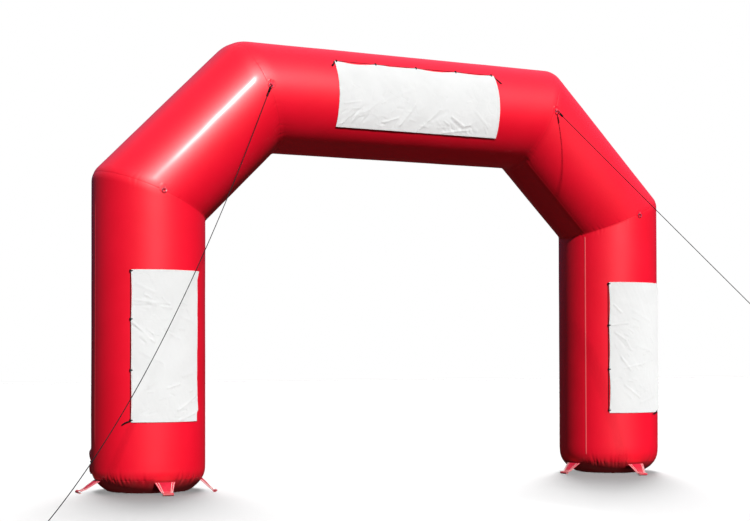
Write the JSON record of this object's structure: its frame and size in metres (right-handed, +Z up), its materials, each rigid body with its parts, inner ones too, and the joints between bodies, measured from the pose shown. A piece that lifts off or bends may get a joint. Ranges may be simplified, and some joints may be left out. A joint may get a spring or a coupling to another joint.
{
  "type": "inflatable arch",
  "caption": "Free-standing inflatable event arch: a fat red air tube with slanted shoulders, blank white banners laced to its front, anchor tabs, D rings and guy ropes.",
  "frame": {"origin": "on the ground, midway between the two legs, on the tube's middle plane", "axes": "+X from the left leg to the right leg, seen from the front, +Z up, and the banners face -Y"},
  "size_m": [8.7145, 5.7867, 4.8691],
  "materials": {
    "red_pvc": "glossy coated fabric",
    "red_webbing": "woven webbing",
    "white_banner": "satin banner cloth",
    "black_cord": "braided cord",
    "zinc_steel": "zinc plated"
  },
  "bodies": {
    "root": {"leg_left": "red_pvc", "base_left": "red_pvc", "diagonal_left": "red_pvc", "anchor_tab_left_0": "red_pvc", "anchor_tab_left_1": "red_pvc", "anchor_tab_left_2": "red_pvc", "anchor_tab_left_3": "red_pvc", "leg_right": "red_pvc", "base_right": "red_pvc", "diagonal_right": "red_pvc", "anchor_tab_right_0": "red_pvc", "anchor_tab_right_1": "red_pvc", "anchor_tab_right_2": "red_pvc", "anchor_tab_right_3": "red_pvc", "top_beam": "red_pvc", "ring_patch_knee_left": "red_pvc", "ring_keeper_knee_left": "red_webbing", "d_ring_knee_left": "zinc_steel", "ring_patch_top_left": "red_pvc", "ring_keeper_top_left": "red_webbing", "d_ring_top_left": "zinc_steel", "ring_patch_top_right": "red_pvc", "ring_keeper_top_right": "red_webbing", "d_ring_top_right": "zinc_steel", "ring_patch_knee_right": "red_pvc", "ring_keeper_knee_right": "red_webbing", "d_ring_knee_right": "zinc_steel", "banner_left": "white_banner", "lacing_left": "black_cord", "banner_top": "white_banner", "lacing_top": "black_cord", "banner_right": "white_banner", "lacing_right": "black_cord", "tie_left_0": "black_cord", "tie_right_0": "black_cord", "tie_left_1": "black_cord", "tie_right_1": "black_cord", "tie_left_2": "black_cord", "tie_right_2": "black_cord", "tie_left_3": "black_cord", "tie_right_3": "black_cord", "tie_right_4": "black_cord", "tie_top_0": "black_cord", "tie_top_1": "black_cord", "tie_top_2": "black_cord", "tie_top_3": "black_cord", "tie_top_4": "black_cord", "lacing_tail_left": "black_cord", "lacing_tail_top_low": "black_cord", "lacing_tail_top_high": "black_cord", "guy_rope_left": "black_cord", "rope_knot_left": "black_cord", "rope_end_left": "black_cord", "guy_rope_right": "black_cord", "rope_knot_right": "black_cord", "rope_end_right": "black_cord", "air_sleeve": "red_pvc", "sleeve_tie": "black_cord"}
  },
  "joints": []
}
